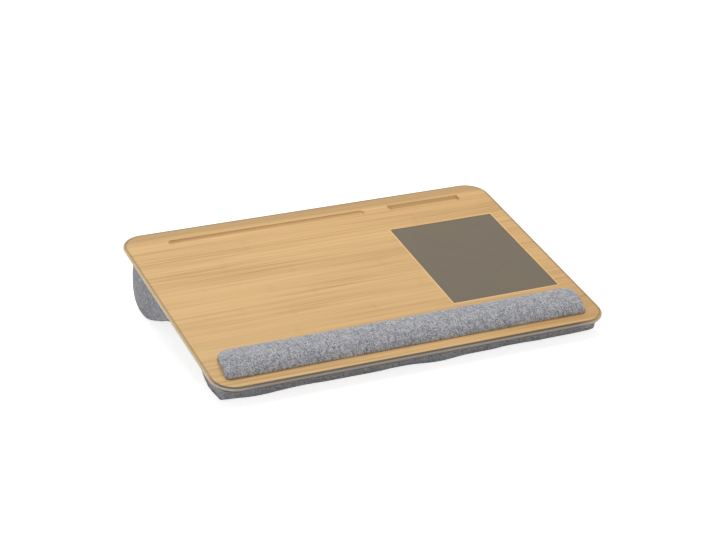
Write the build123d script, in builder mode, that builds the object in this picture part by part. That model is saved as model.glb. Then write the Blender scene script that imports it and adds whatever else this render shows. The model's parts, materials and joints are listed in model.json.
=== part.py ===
from build123d import *
from math import cos, radians, sin, sqrt, tan
import os

# A lap tray: a three-ply bamboo board with a pale edge band, an inlaid mouse pad, a pen groove, a
# phone slot and a padded wrist rest, on a fabric cushion with a low front bolster and a tall rear
# bolster that tilts the board.
# Lengths are in millimetres and angles in degrees. X runs to the right, Y to the back, Z up.

os.makedirs("parts", exist_ok=True)

# Stance of the tray on a level surface
tray_slope = 10.6
front_edge_height = 22.8

# Board, three plies of bamboo inside a band that is rounded above and bevelled below
board_width = 520
board_depth = 360
board_corner_radius = 30
face_ply_thickness = 1.5
core_ply_thickness = 3.3
back_ply_thickness = 1.2
edge_band_width = 2.5
edge_top_radius = 2.3
edge_bevel_width = 2
edge_bevel_height = 3
cut_overrun = 5

# Mouse pad, glued into a shallow recess near the right edge
pad_width = 147.5
pad_depth = 186.2
pad_right_margin = 25.2
pad_front_margin = 90.5
pad_thickness = 0.7
pad_glue_thickness = 0.2
pad_below_surface = 0.3
pad_clearance = 0.3

# Pen groove, a round-nosed routed trough along the back edge
pen_groove_length = 275.5
pen_groove_radius = 5.9
pen_groove_depth = 4.2
pen_groove_left_margin = 58.5
pen_groove_back_margin = 30.4

# Phone slot, a routed slot whose back wall leans back
phone_slot_length = 104.5
phone_slot_depth = 4.3
phone_slot_floor_width = 9
phone_slot_lean = 35
phone_slot_right_margin = 46
phone_slot_front_wall_margin = 36

# Wrist rest along the front edge
wrist_length = 475.5
wrist_width = 56
wrist_height = 13.5
wrist_off_center = -1.3
wrist_front_margin = 19.5
wrist_end_round = 6
wrist_front_corner_radius = 9
wrist_back_corner_radius = 16
wrist_station_shares = (0, 0.05, 0.17, 0.4, 1)
wrist_cover_thickness = 1.2
wrist_base_thickness = 2
wrist_shoulder_share = 0.12
wrist_shoulder_height_share = 0.63

# Fastening tape between the board and the cushion
tape_width = 25
tape_length = 180
tape_thickness = 1.2
tape_spacing_along = 220
tape_spacing_across = 250

# Cushion
cushion_length = 495
cushion_front_margin = 13
cushion_back_margin = 30
fabric_thickness = 1.2
front_bolster_depth = 87
rear_bolster_depth = 152
squash_depth = 0.5
bolster_end_zone = 30
bolster_end_draw = 1
front_bolster_crown = 1.5
rear_bolster_crown = 3

# Outline of a bolster: shares along its depth from the outer side, and shares of the drop to the
# surface that it stands on
front_heel_share = 0.07
front_toe_share = 0.54
front_side_share = 0.55
front_bulge_share = 0.012
rear_heel_share = 0.12
rear_toe_share = 0.39
rear_side_share = 0.67
rear_bulge_share = 0.022
lift_share = 0.955
station_shares = (0, 0.05, 0.17, 0.4, 1)

# The top face of the board, with its origin in the middle of the face
board_thickness = face_ply_thickness + core_ply_thickness + back_ply_thickness
rise = sin(radians(tray_slope))
run = cos(radians(tray_slope))
board_center_height = front_edge_height + board_depth / 2 * rise
board_center_back = -board_thickness / 2 * rise
board_plane = Plane(
    origin=(0, board_center_back, board_center_height), x_dir=(1, 0, 0), z_dir=(0, -rise, run)
)
board_normal = Axis(board_plane.origin, board_plane.z_dir)
side_plane = Plane(origin=board_plane.origin, x_dir=board_plane.y_dir, z_dir=(1, 0, 0))

# Pen groove cutter: a stadium turned about its long axis
pen_groove_x = -board_width / 2 + pen_groove_left_margin + pen_groove_length / 2
pen_groove_y = board_depth / 2 - pen_groove_back_margin
pen_groove_plane = Plane(
    origin=board_plane.from_local_coords(
        Vector(pen_groove_x, pen_groove_y, pen_groove_radius - pen_groove_depth)
    ),
    x_dir=board_plane.x_dir,
    z_dir=board_plane.z_dir,
)
with BuildPart() as pen_groove_cutter:
    with BuildSketch(pen_groove_plane):
        SlotOverall(pen_groove_length, 2 * pen_groove_radius)
        split(bisect_by=Plane.XZ, keep=Keep.TOP)
    revolve(axis=Axis(pen_groove_plane.origin, pen_groove_plane.x_dir))

# Phone slot cutter: its section is drawn in the side plane, where the first coordinate runs up the
# slope and the second along the board's normal
phone_slot_right = board_width / 2 - phone_slot_right_margin
phone_slot_front_wall = board_depth / 2 - phone_slot_front_wall_margin
phone_slot_floor_back = phone_slot_front_wall + phone_slot_floor_width
phone_slot_lean_run = (phone_slot_depth + cut_overrun) * tan(radians(phone_slot_lean))
with BuildPart() as phone_slot_cutter:
    with BuildSketch(side_plane.offset(phone_slot_right)):
        with BuildLine():
            Polyline(
                (phone_slot_front_wall, cut_overrun),
                (phone_slot_front_wall, -phone_slot_depth),
                (phone_slot_floor_back, -phone_slot_depth),
                (phone_slot_floor_back + phone_slot_lean_run, cut_overrun),
                close=True,
            )
        make_face()
    extrude(amount=-phone_slot_length)

# Edge band, a strip round the three plies
panel_width = board_width - 2 * edge_band_width
panel_depth = board_depth - 2 * edge_band_width
panel_corner_radius = board_corner_radius - edge_band_width
with BuildPart() as edge_band:
    with BuildSketch(board_plane):
        RectangleRounded(board_width, board_depth, board_corner_radius)
    extrude(amount=-board_thickness)
    fillet(faces().sort_by(board_normal)[-1].edges(), radius=edge_top_radius)
    underside = faces().sort_by(board_normal)[0]
    chamfer(underside.edges(), edge_bevel_width, edge_bevel_height, reference=underside)
    with BuildSketch(board_plane):
        RectangleRounded(panel_width, panel_depth, panel_corner_radius)
    extrude(amount=-board_thickness, mode=Mode.SUBTRACT)
edge_band.part.label = "edge_band"

# Face ply, with the recess and both cuts
pad_x = board_width / 2 - pad_right_margin - pad_width / 2
pad_y = -board_depth / 2 + pad_front_margin + pad_depth / 2
pad_recess_depth = pad_below_surface + pad_thickness + pad_glue_thickness
with BuildPart() as face_ply:
    with BuildSketch(board_plane):
        RectangleRounded(panel_width, panel_depth, panel_corner_radius)
    extrude(amount=-face_ply_thickness)
    with BuildSketch(board_plane):
        with Locations((pad_x, pad_y)):
            Rectangle(pad_width + 2 * pad_clearance, pad_depth + 2 * pad_clearance)
    extrude(amount=-pad_recess_depth, mode=Mode.SUBTRACT)
    add(pen_groove_cutter.part, mode=Mode.SUBTRACT)
    add(phone_slot_cutter.part, mode=Mode.SUBTRACT)
face_ply.part.label = "face_ply"

# Core ply, whose wood is bared in the groove and the slot
with BuildPart() as core_ply:
    with BuildSketch(board_plane.offset(-face_ply_thickness)):
        RectangleRounded(panel_width, panel_depth, panel_corner_radius)
    extrude(amount=-core_ply_thickness)
    add(pen_groove_cutter.part, mode=Mode.SUBTRACT)
    add(phone_slot_cutter.part, mode=Mode.SUBTRACT)
core_ply.part.label = "core_ply"

# Back ply
with BuildPart() as back_ply:
    with BuildSketch(board_plane.offset(-face_ply_thickness - core_ply_thickness)):
        RectangleRounded(panel_width, panel_depth, panel_corner_radius)
    extrude(amount=-back_ply_thickness)
back_ply.part.label = "back_ply"

# Mouse pad on its film of glue
with BuildPart() as mouse_pad_glue:
    with BuildSketch(board_plane.offset(-pad_recess_depth)):
        with Locations((pad_x, pad_y)):
            Rectangle(pad_width, pad_depth)
    extrude(amount=pad_glue_thickness)
mouse_pad_glue.part.label = "mouse_pad_glue"

with BuildPart() as mouse_pad:
    with BuildSketch(board_plane.offset(-pad_below_surface)):
        with Locations((pad_x, pad_y)):
            Rectangle(pad_width, pad_depth)
    extrude(amount=-pad_thickness)
mouse_pad.part.label = "mouse_pad"


def wrist_outline(front_draw, back_draw, sink):
    """Draw the wrist rest's section, drawn in at its front and back and sunk at its crest."""
    front = -board_depth / 2 + wrist_front_margin + front_draw
    back = -board_depth / 2 + wrist_front_margin + wrist_width - back_draw
    height = wrist_height - sink
    shoulder_run = wrist_shoulder_share * (back - front)
    shoulder_height = wrist_shoulder_height_share * height
    crest = ThreePointArc(
        (front + shoulder_run, shoulder_height),
        ((front + back) / 2, height),
        (back - shoulder_run, shoulder_height),
    )
    TangentArc([crest @ 1, (back, 0)], tangent=crest % 1)
    Line((back, 0), (front, 0))
    TangentArc([crest @ 0, (front, 0)], tangent=-(crest % 0))


def round_off(radius, end_gap):
    """Give how far a quarter round falls back at a gap from the end that it starts from."""
    rest = max(radius - end_gap, 0)
    return radius - sqrt(radius**2 - rest**2)


def wrist_stations(wall):
    """List each station's place along X with its draw-ins and sink, from left to right.

    The wall is the thickness that the section leaves free for the fabric all round it.
    """
    right = []
    for share in wrist_station_shares:
        end_gap = share * (wrist_back_corner_radius - wall)
        front_draw = wall + round_off(wrist_front_corner_radius - wall, end_gap)
        back_draw = wall + round_off(wrist_back_corner_radius - wall, end_gap)
        sink = wall + round_off(wrist_end_round - wall, end_gap)
        right.append((wrist_length / 2 - wall - end_gap, front_draw, back_draw, sink))
    left = [(-place, *drawn) for place, *drawn in right]
    return left + right[::-1]


# Wrist rest: a thin base on the board, a foam pad on it and a fabric cover stretched over both
with BuildPart() as wrist_rest_foam:
    for place, *drawn in wrist_stations(wrist_cover_thickness):
        with BuildSketch(side_plane.offset(wrist_off_center + place)):
            with BuildLine():
                wrist_outline(*drawn)
            make_face()
    loft(ruled=True)

with BuildPart() as wrist_rest_cover:
    for place, *drawn in wrist_stations(0):
        with BuildSketch(side_plane.offset(wrist_off_center + place)):
            with BuildLine():
                wrist_outline(*drawn)
            make_face()
    loft(ruled=True)
    add(wrist_rest_foam.part, mode=Mode.SUBTRACT)
wrist_rest_cover.part.label = "wrist_rest_cover"

with BuildPart() as wrist_rest_base:
    add(wrist_rest_foam.part)
    split(bisect_by=board_plane.offset(wrist_base_thickness), keep=Keep.BOTTOM)
wrist_rest_base.part.label = "wrist_rest_base"

with BuildPart() as wrist_rest_pad:
    add(wrist_rest_foam.part)
    split(bisect_by=board_plane.offset(wrist_base_thickness), keep=Keep.TOP)
wrist_rest_pad.part.label = "wrist_rest_foam"

# Fastening tape: the hooked half is glued under the board, the looped half is sewn on the cushion
with BuildPart() as hook_tapes:
    with BuildSketch(board_plane.offset(-board_thickness)):
        with GridLocations(tape_spacing_along, tape_spacing_across, 2, 2):
            Rectangle(tape_length, tape_width)
    extrude(amount=-tape_thickness)
hook_tapes.part.label = "hook_tapes"

with BuildPart() as loop_tapes:
    with BuildSketch(board_plane.offset(-board_thickness - tape_thickness)):
        with GridLocations(tape_spacing_along, tape_spacing_across, 2, 2):
            Rectangle(tape_length, tape_width)
    extrude(amount=-tape_thickness)
loop_tapes.part.label = "loop_tapes"

# Places on the cushion, measured up the slope from the middle of the board
cushion_front = -board_depth / 2 + cushion_front_margin
cushion_back = board_depth / 2 - cushion_back_margin
front_bolster_toe = cushion_front + front_bolster_depth
rear_bolster_toe = cushion_back - rear_bolster_depth
panel_top = -board_thickness - 2 * tape_thickness
panel_underside = panel_top - fabric_thickness
cushion_half = cushion_length / 2 - fabric_thickness


def drop_at(place):
    """Distance from the top panel's underside to the surface, square to the board."""
    return (board_center_height + place * rise) / run + panel_underside


def bolster_outline(outer, inner, shares, draw, crown, wall):
    """Draw a bolster's section: a flat top, and arcs that meet without a corner from seam to seam.

    The outer side and the bottom are drawn in by draw. The crown swells the outer side, and wall
    is the thickness that the section leaves free for the fabric all round it.
    """
    heel_share, toe_share, side_share, bulge_share = shares
    inward = 1 if inner > outer else -1
    outer_seam = outer + inward * (draw + wall)
    inner_seam = inner - inward * 2 * wall
    depth = inner_seam - outer_seam
    top = panel_underside - wall

    def point(along_share, down_share, swell=0):
        place = outer_seam + along_share * depth - inward * swell
        drop = drop_at(place) + squash_depth / run - draw - wall
        return (place, panel_underside - down_share * drop)

    middle_share = (heel_share + toe_share) / 2
    bottom = ThreePointArc(
        point(heel_share, lift_share), point(middle_share, 1), point(toe_share, lift_share)
    )
    heel = TangentArc(
        [bottom @ 0, point(-bulge_share, side_share, crown)], tangent=-(bottom % 0)
    )
    TangentArc([heel @ 1, (outer_seam, top)], tangent=heel % 1)
    Line((outer_seam, top), (inner_seam, top))
    TangentArc([bottom @ 1, (inner_seam, top)], tangent=bottom % 1)


def bolster_stations(middle_crown):
    """List each station's place along X with its draw-in and crown, from left to right."""
    right = []
    for share in station_shares:
        place = cushion_half - share * bolster_end_zone
        draw = bolster_end_draw * (1 - sqrt(1 - (1 - share) ** 2))
        right.append((place, draw, 0))
    left = [(-place, draw, crown) for place, draw, crown in right]
    return left + [(0, 0, middle_crown)] + right[::-1]


front_shares = (front_heel_share, front_toe_share, front_side_share, front_bulge_share)
rear_shares = (rear_heel_share, rear_toe_share, rear_side_share, rear_bulge_share)

# Front bolster: its fill, the cover sewn round it and a panel on each end
with BuildPart() as front_bolster_fill:
    for place, draw, crown in bolster_stations(front_bolster_crown):
        with BuildSketch(side_plane.offset(place)):
            with BuildLine():
                bolster_outline(
                    cushion_front, front_bolster_toe, front_shares, draw, crown, fabric_thickness
                )
            make_face()
    loft(ruled=True)
front_bolster_fill.part.label = "front_bolster_fill"

with BuildPart() as front_bolster_cover:
    for place, draw, crown in bolster_stations(front_bolster_crown):
        with BuildSketch(side_plane.offset(place)):
            with BuildLine():
                bolster_outline(cushion_front, front_bolster_toe, front_shares, draw, crown, 0)
            make_face()
    loft(ruled=True)
    split(bisect_by=Plane.XY, keep=Keep.TOP)
    add(front_bolster_fill.part, mode=Mode.SUBTRACT)
front_bolster_cover.part.label = "front_bolster_cover"

# Rear bolster, in the same pieces
with BuildPart() as rear_bolster_fill:
    for place, draw, crown in bolster_stations(rear_bolster_crown):
        with BuildSketch(side_plane.offset(place)):
            with BuildLine():
                bolster_outline(
                    cushion_back, rear_bolster_toe, rear_shares, draw, crown, fabric_thickness
                )
            make_face()
    loft(ruled=True)
rear_bolster_fill.part.label = "rear_bolster_fill"

with BuildPart() as rear_bolster_cover:
    for place, draw, crown in bolster_stations(rear_bolster_crown):
        with BuildSketch(side_plane.offset(place)):
            with BuildLine():
                bolster_outline(cushion_back, rear_bolster_toe, rear_shares, draw, crown, 0)
            make_face()
    loft(ruled=True)
    split(bisect_by=Plane.XY, keep=Keep.TOP)
    add(rear_bolster_fill.part, mode=Mode.SUBTRACT)
rear_bolster_cover.part.label = "rear_bolster_cover"

# Top panel, sewn to the tops of both bolsters, and the web sewn to it between them
with BuildPart() as cushion_top_panel:
    with BuildSketch(board_plane.offset(panel_top)):
        with Locations((0, (cushion_front + cushion_back) / 2)):
            RectangleRounded(cushion_length, cushion_back - cushion_front, bolster_end_draw)
    extrude(amount=-fabric_thickness)
cushion_top_panel.part.label = "cushion_top_panel"

with BuildPart() as channel_web:
    with BuildSketch(board_plane.offset(panel_underside)):
        with Locations((0, (front_bolster_toe + rear_bolster_toe) / 2)):
            Rectangle(cushion_length, rear_bolster_toe - front_bolster_toe)
    extrude(amount=-fabric_thickness)
channel_web.part.label = "channel_web"


def end_panel(name, side, outer, inner, shares):
    """Make the flat fabric panel that closes one end of a bolster."""
    with BuildPart() as panel:
        with BuildSketch(side_plane.offset(side * cushion_half)):
            with BuildLine():
                bolster_outline(outer, inner, shares, bolster_end_draw, 0, 0)
            make_face()
        extrude(amount=side * fabric_thickness)
    panel.part.label = name
    return panel


end_panels = [
    end_panel("front_bolster_left_end", -1, cushion_front, front_bolster_toe, front_shares),
    end_panel("front_bolster_right_end", 1, cushion_front, front_bolster_toe, front_shares),
    end_panel("rear_bolster_left_end", -1, cushion_back, rear_bolster_toe, rear_shares),
    end_panel("rear_bolster_right_end", 1, cushion_back, rear_bolster_toe, rear_shares),
]

pieces = [
    edge_band,
    face_ply,
    core_ply,
    back_ply,
    mouse_pad_glue,
    mouse_pad,
    wrist_rest_base,
    wrist_rest_pad,
    wrist_rest_cover,
    hook_tapes,
    loop_tapes,
    cushion_top_panel,
    channel_web,
    front_bolster_fill,
    front_bolster_cover,
    rear_bolster_fill,
    rear_bolster_cover,
    *end_panels,
]
for piece in pieces:
    export_step(piece.part, f"parts/{piece.part.label}.step")
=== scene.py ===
"""Lap tray with a bamboo board on a fabric cushion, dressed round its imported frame."""
from itertools import product
import json
import math

import bmesh
import bpy
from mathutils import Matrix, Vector, noise


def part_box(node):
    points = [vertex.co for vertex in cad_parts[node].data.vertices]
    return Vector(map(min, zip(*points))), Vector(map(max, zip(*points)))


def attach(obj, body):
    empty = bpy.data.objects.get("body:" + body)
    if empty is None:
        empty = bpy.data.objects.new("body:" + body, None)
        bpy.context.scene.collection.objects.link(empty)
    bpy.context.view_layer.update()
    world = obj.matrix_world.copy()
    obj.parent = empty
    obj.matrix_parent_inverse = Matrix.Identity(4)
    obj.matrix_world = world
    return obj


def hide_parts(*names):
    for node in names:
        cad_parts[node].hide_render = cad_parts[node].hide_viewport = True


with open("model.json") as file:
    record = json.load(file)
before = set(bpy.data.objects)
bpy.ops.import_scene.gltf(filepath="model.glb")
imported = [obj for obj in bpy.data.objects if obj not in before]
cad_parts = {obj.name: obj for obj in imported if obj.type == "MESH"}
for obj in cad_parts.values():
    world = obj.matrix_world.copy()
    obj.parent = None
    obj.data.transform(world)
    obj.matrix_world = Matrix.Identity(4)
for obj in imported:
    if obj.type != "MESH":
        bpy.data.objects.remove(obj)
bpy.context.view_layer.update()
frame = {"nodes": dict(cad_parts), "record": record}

bl_info = {
    "name": "Bamboo Lap Tray",
    "version": (1, 0, 0),
    "blender": (4, 5, 0),
    "location": "3D View > Sidebar > Lap Tray",
    "description": "Dresses a packed bamboo lap tray in wood, woven fabric and a soft inlaid pad",
    "category": "Object",
}

nodes = frame["nodes"]
BODY = "root"

# The board's own axes, from the place on it that a device rests on
device_area = next(m for m in frame["record"]["mounts"] if m["name"] == "device_area")
RIGHT = Vector((1, 0, 0))
BOARD_UP = Vector(device_area["axis"])
BOARD_BACK = BOARD_UP.cross(RIGHT)
BOARD_ZERO = Vector((0, device_area["pos_m"][1], device_area["pos_m"][2]))
BOARD_SLOPE = math.atan2(BOARD_BACK.z, BOARD_BACK.y)


def to_board(point):
    """A point as its place across, up the slope of, and above the board's top face."""
    across = point - BOARD_ZERO
    return Vector((point.x, across.dot(BOARD_BACK), across.dot(BOARD_UP)))


def from_board(place):
    """The point at a place across, up the slope of, and above the board's top face."""
    return BOARD_ZERO + RIGHT * place[0] + BOARD_BACK * place[1] + BOARD_UP * place[2]


def corners(places):
    """Lowest and highest corner of the box round a list of places."""
    return [Vector(pick(p[axis] for p in places) for axis in range(3)) for pick in (min, max)]


def board_box(name):
    """Lowest and highest corner of a CAD node, measured along the board's axes."""
    return corners([to_board(v.co) for v in nodes[name].data.vertices])


# Values of the making: metres, unless they are shares, counts or times per metre

board_low, board_high = board_box("edge_band")
HALF_WIDTH = (board_high.x - board_low.x) / 2
HALF_DEPTH = (board_high.y - board_low.y) / 2
CORNER_RADIUS = 0.030
RECESS_RADIUS = 0.001  # corners of the pad's recess
UNDERCUT = (-0.0034, -0.0026)  # heights on the band between which its shadow starts
UNDERCUT_SHADOW_COLOR = (0.055, 0.050, 0.047)
ARRIS_HIGHLIGHT_WIDTH = 0.0011  # painted highlight round the pad's recess
JOINT_COLOR = (0.050, 0.029, 0.012)
JOINT_STRENGTH = 0.95
BAND_STREAKS, CORE_STREAKS = 0.75, 0.6

# Where the board's painted light and shade, and its darker back strip, start and end, measured
# inwards from an edge of its top ply
RIGHT_FADE = (0.045, 0.010)
FRONT_FADE = (0.018, 0.045)
LEFT_FADE = (0.015, 0.045)
BACK_SHADE = (0.013, 0.002)
FRONT_SHADE_FROM = -0.05  # place across the board from which the painted shade along its front is at its darkest

FABRIC_MAP = "Weave"
CUSHION_MAP_ZERO = 0.7  # moves the map of the end panels away from the sleeve's
REST_MAP_ZERO = 0.3
RING_SPACING = 0.005
END_RINGS = 9
RIM_SHARES = (0.955, 0.985)
UNDER_STEPS = 44
TOP_STEPS = 24
ARCH_STEPS = 26
BASE_STEPS = 10
END_STEPS = 4
WELD = 1e-6
FLAT_WITHIN = 0.0002  # points this close to a section's flat side belong to it

CLOTH = {
    "quality": 5, "mass": 0.3, "tension_stiffness": 18, "compression_stiffness": 12,
    "shear_stiffness": 8, "bending_stiffness": 0.4, "use_pressure": True}
SIM_FRAMES = 18
SLACK = 0.0004  # farthest that a point may move in
LEVEL_SLACK = 0.0004  # points this close to the sewn level are pinned

BOLSTER_END = 0.006  # stretch with closer rings at each end
CUT_INSET = 0.0002  # keeps the first cut off the sleeve's very end
SEWN_STRIP = 0.0015  # strip below the sewn level that stays smooth
PUCKER_DEPTH, PUCKER_REACH = 0.0009, 0.012
PUCKERS_ROUND, PUCKERS_ALONG = 90, 12
WAVE_DEPTH, WAVES_PER_METRE, WAVE_SHIFT = 0.0014, 13, Vector((3, 1, 7))
SAG_DEPTH, SAG_HEIGHT, SAG_REACH = 0.0035, 0.03, 0.03
SAGS_ALONG, SAGS_DEEP, SAG_SHIFT = 17, 6, 2
THREAD_ABOVE = 0.0002  # how far the stitches stand off the fabric
STITCHES = "Row of Stitches"
SEAM_SKIP = 2  # ring points left without a stitch at each end of a seam

REST_END = 0.012
REST_PAST = (0.0030, 0.0005)  # how far the rest reaches past its solid, left and right
REST_FIRST_GAP = 0.0003
REST_FRONT_RADIUS, REST_BACK_RADIUS = 0.007, 0.015
REST_RISE, REST_RISE_POWER = 0.006, 2.6
LEAN_SHARES = (1.25, 0.75)  # shares of the lean at the left and the right end
REST_WAVE, REST_WAVES_PER_METRE, REST_SMOOTH_BELOW = 0.0003, 30, 0.001

PANEL_STEP = 0.005
PANEL_RIM, PANEL_RIM_SHARE = 0.002, 0.3
PANEL_WAVE_SHARE, PANEL_WAVES_PER_METRE = 0.06, 40
PANELS = (
    # name, CAD node, corner radius
    ("cushion_top", "cushion_top_panel", 0.003),
    ("lap_web", "channel_web", 0.001),
)
TAPE_CORNER = 0.003
TAPES = (
    # name, CAD node, colour, loops per metre
    ("hook_tape", "hook_tapes", (0.015, 0.015, 0.017), 1400.0),
    ("loop_tape", "loop_tapes", (0.02, 0.02, 0.023), 900.0),
)

# Light colour, dark colour, clouds per metre and roughness
GLUE_LOOK = ((0.55, 0.5, 0.4), (0.4, 0.36, 0.28), 60, 0.5)
REST_BOARD_LOOK = ((0.45, 0.33, 0.2), (0.3, 0.21, 0.12), 80, 0.7)

WHITE = (1, 1, 1)
LAMPS = (
    # name, place, aim, size, power setting, colour
    ("key_lamp", (0.10, 0.55, 1.9), (0, 0, 0), 1.6, "key_power", WHITE),
    ("left_lamp", (-2.1, -0.10, 0.65), (0, 0, 0.03), 1.1, "fill_power", (0.93, 0.96, 1.0)),
    ("right_lamp", (1.9, -1.7, 0.7), (0.1, 0, 0.03), 1.0, "right_power", WHITE),
)
SENSOR_WIDTH = 36.0  # millimetres
VIEW_END = 50
FLOOR_REACH = 12.0
FLOOR_BELOW = 0.0002  # keeps the floor off the cushion's flat underside
FLOOR_MATTE, FLOOR_SEEN, FLOOR_GLOW = 0.8, 0.5, 0.80


# Settings

def color_setting(name, description, default):
    """A colour in the add-on's panel."""
    return bpy.props.FloatVectorProperty(
        name=name, description=description, subtype="COLOR", size=3, default=default)


def length_setting(name, description, default):
    """A length in the add-on's panel."""
    return bpy.props.FloatProperty(
        name=name, description=description, subtype="DISTANCE", unit="LENGTH", default=default)


def place_setting(name, description, default):
    """A place in the add-on's panel."""
    return bpy.props.FloatVectorProperty(
        name=name, description=description, subtype="XYZ", unit="LENGTH", size=3, default=default)


def number_setting(name, description, default):
    """A plain number in the add-on's panel."""
    return bpy.props.FloatProperty(name=name, description=description, default=default)


class WoodSettings(bpy.types.PropertyGroup):
    """Colours and sizes of the bamboo."""
    face_color: color_setting(
        "Face colour", "Base colour of the board's top ply", (0.685, 0.432, 0.175))
    face_dark: color_setting(
        "Streak colour", "Colour of the darker grain in the top ply", (0.44, 0.236, 0.070))
    # Painted shade: the band is one wood, given a darker, greyer colour along the front than the
    # lit colour along its other edges
    band_shaded_color: color_setting(
        "Edge colour", "Base colour of the band along the front edge", (0.42, 0.37, 0.305))
    band_side_color: color_setting(
        "Side edge colour", "Base colour of the band along the other edges", (0.80, 0.60, 0.355))
    core_color: color_setting(
        "Core colour", "Colour of the wood bared in the groove and the slot", (0.74, 0.48, 0.22))
    strip_width: length_setting("Strip width", "Width of one strip of bamboo", 0.019)
    knuckle_spacing: length_setting(
        "Knuckle spacing", "Distance between the knuckles along a strip", 0.24)
    joint_width: length_setting(
        "Joint width", "Width of the dark glue line inside the edge band", 0.0021)


class FabricSettings(bpy.types.PropertyGroup):
    """Colours, thread sizes and fill of the woven fabric pieces."""
    light_color: color_setting(
        "Light thread", "Colour of the lightest threads", (0.70, 0.695, 0.70))
    mid_color: color_setting("Middle thread", "Colour of most threads", (0.435, 0.435, 0.465))
    dark_color: color_setting("Dark thread", "Colour of the darkest threads", (0.19, 0.196, 0.235))
    seam_color: color_setting(
        "Seam thread", "Colour of the stitches along the end seams", (0.17, 0.17, 0.19))
    thread_pitch: length_setting("Thread pitch", "Distance between neighbouring threads", 0.00115)
    pressure: number_setting(
        "Fill pressure", "Pressure of the fill while the cushion is blown up", 4.0)
    cushion_swell: length_setting(
        "Cushion swell", "Farthest that the cushion's fabric may move out", 0.0035)
    rest_swell: length_setting(
        "Rest swell", "Farthest that the wrist rest's fabric may move out", 0.0012)
    rest_shade: number_setting(
        "Rest shade", "Brightness of the rest's fabric as a share of the cushion's", 1.08)
    panel_shade: number_setting(
        "Panel shade", "Brightness of the flat panels' fabric as a share of the cushion's", 0.9)
    stitch_length: length_setting(
        "Stitch length", "Length of one stitch along the end seams", 0.003)
    rest_lean: number_setting(
        "Rest lean", "How far the rest's ends lean to the right, as a share of its width", 0.09)
    seam_depth: length_setting("Seam depth", "How deep the fabric is drawn in along a seam", 0.0014)


class PadSettings(bpy.types.PropertyGroup):
    """Colour of the inlaid mouse pad."""
    color: color_setting("Pad colour", "Base colour of the inlaid pad", (0.162, 0.130, 0.089))


class StageSettings(bpy.types.PropertyGroup):
    """Camera, lamps and room."""
    camera_place: place_setting(
        "Camera place", "Where the camera stands", (-0.9788, -2.1150, 0.9938))
    camera_aim: place_setting(
        "Camera aim", "Point in the middle of the picture", (0.0248, 0.0604, 0.04))
    camera_lens: number_setting(
        "Focal length", "Focal length for a sensor 36 mm wide, in millimetres", 100.57)
    key_power: number_setting("Key power", "Power of the large lamp above the tray, in watts", 27.2)
    fill_power: number_setting("Fill power", "Power of the lamp at the left, in watts", 6.2)
    right_power: number_setting(
        "Right power", "Power of the lamp at the front right, in watts", 5.0)
    world_strength: number_setting("Room light", "Strength of the even light from all round", 0.415)


# Node trees

class Tree:
    """Adds nodes to one node tree and joins them as they are made."""

    def __init__(self, tree):
        self.tree = tree

    def node(self, kind, inputs=None, **settings):
        """Add a node, with its inputs set to values or joined to sockets."""
        made = self.tree.nodes.new(kind)
        for name, value in settings.items():
            setattr(made, name, value)
        for key, value in (inputs or {}).items():
            if isinstance(value, bpy.types.NodeSocket):
                self.tree.links.new(value, made.inputs[key])
            else:
                made.inputs[key].default_value = value
        return made

    def give(self, kind, inputs=None, output=0, **settings):
        """Add a node and give one of its outputs."""
        return self.node(kind, inputs, **settings).outputs[output]

    def math(self, operation, *values):
        """The result of a Math node."""
        return self.give("ShaderNodeMath", dict(enumerate(values)), operation=operation)

    def plus(self, one, other):
        """The sum of two values."""
        return self.math("ADD", one, other)

    def minus(self, one, other):
        """One value less another."""
        return self.math("SUBTRACT", one, other)

    def times(self, one, other):
        """One value times another."""
        return self.math("MULTIPLY", one, other)

    def vectors(self, operation, one, other):
        """The result of a Vector Math node."""
        return self.give("ShaderNodeVectorMath", {0: one, 1: other}, operation=operation)

    def split(self, vector):
        """The three parts of a vector."""
        return self.node("ShaderNodeSeparateXYZ", {0: vector}).outputs

    def join(self, x, y, z=0.0):
        """A vector from three parts."""
        return self.give("ShaderNodeCombineXYZ", {0: x, 1: y, 2: z})

    def place(self):
        """Object coordinates."""
        return self.give("ShaderNodeTexCoord", output="Object")

    def noise(self, vector, scale, detail=2.0, roughness=0.5):
        """The height of a noise texture, from 0 to 1."""
        return self.give("ShaderNodeTexNoise", {
            "Vector": vector, "Scale": scale, "Detail": detail, "Roughness": roughness})

    def drawn_noise(self, x, y, scale_x, scale_y, shift=0.0, detail=2.0):
        """Noise with a scale of its own along each of two directions."""
        drawn = self.join(self.times(x, scale_x), self.times(y, scale_y), shift)
        return self.noise(drawn, 1.0, detail)

    def chance(self, vector):
        """A random value from 0 to 1 for each vector."""
        return self.give("ShaderNodeTexWhiteNoise", {"Vector": vector}, noise_dimensions="3D")

    def cells(self, vector, scale):
        """The distance to the nearest cell's middle."""
        return self.give("ShaderNodeTexVoronoi", {"Vector": vector, "Scale": scale}, "Distance")

    def group(self, tree, inputs):
        """Add a shader group and give its outputs."""
        return self.node("ShaderNodeGroup", inputs, node_tree=tree).outputs

    def remap(self, value, low, high, to_low=0.0, to_high=1.0):
        """A value stretched from one range to another, and held there."""
        return self.give("ShaderNodeMapRange", {0: value, 1: low, 2: high, 3: to_low, 4: to_high})

    def mix(self, factor, first, second, blend="MIX"):
        """Two colours mixed."""
        return self.give("ShaderNodeMix", {0: factor, 6: first, 7: second}, 2,
                         data_type="RGBA", blend_type=blend)

    def shade(self, color, value):
        """A colour times a plain value."""
        return self.mix(1.0, color, self.join(value, value, value), "MULTIPLY")

    def bump(self, height, distance):
        """A normal bent by a height."""
        return self.give("ShaderNodeBump", {"Height": height, "Distance": distance})


def rgba(color, share=1.0):
    """A colour times a share, with full alpha."""
    return (*(c * share for c in color), 1.0)


SURFACE = {"Color": (0, 0, 0), "Height": 0.0, "Roughness": 0.0}


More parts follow.
